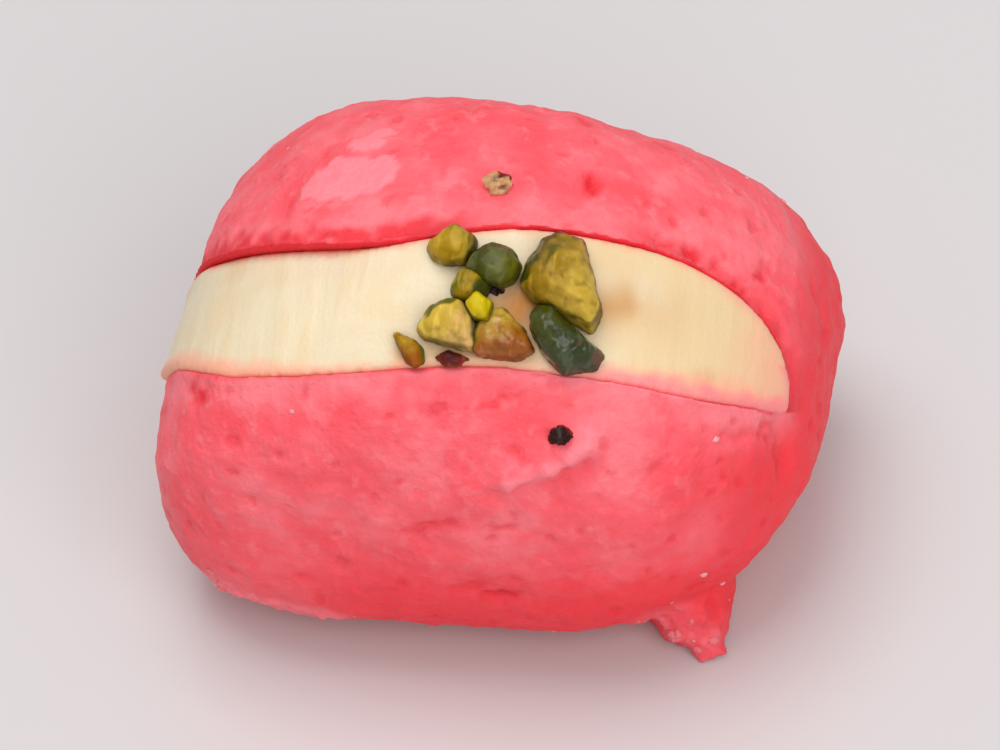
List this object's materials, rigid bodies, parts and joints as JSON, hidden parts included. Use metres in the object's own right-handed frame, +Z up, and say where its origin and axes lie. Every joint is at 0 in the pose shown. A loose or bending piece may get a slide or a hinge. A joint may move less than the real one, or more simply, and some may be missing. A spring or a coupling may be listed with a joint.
{
  "type": "malai chum chum sweet",
  "caption": "Oval loaf of pink cheese sponge, slit along its upper front and filled with pale cream, with chopped pistachio on the cream.",
  "frame": {"origin": "middle of the bounding box on the plane that the sweet rests on", "axes": "+X along the slit toward its closed end, -Y toward the front, where the slit leans, +Z up"},
  "size_m": [0.0586, 0.0428, 0.0435],
  "materials": {
    "chhena_sponge": "moist, soft, finely grained pink cheese sponge",
    "malai_cream": "smooth pale cream paste",
    "pistachio_pale_green": "cut nut, waxy",
    "pistachio_olive": "cut nut, moist",
    "pistachio_dark_green": "nut with wet skin",
    "pistachio_syrup": "nut soaked in syrup",
    "pistachio_yellow": "bright cut nut",
    "pistachio_brown": "dry nut shard",
    "pistachio_husk": "dark nut skin"
  },
  "bodies": {
    "root": {"sponge": "chhena_sponge", "malai_filling": "malai_cream", "pistachio_pale": "pistachio_pale_green", "pistachio_dark": "pistachio_dark_green", "pistachio_wedge": "pistachio_olive", "pistachio_green": "pistachio_dark_green", "pistachio_cube": "pistachio_olive", "pistachio_syrupy": "pistachio_syrup", "pistachio_olive": "pistachio_olive", "pistachio_shard": "pistachio_brown", "pistachio_skin": "pistachio_husk", "pistachio_yellow": "pistachio_yellow"}
  },
  "joints": []
}
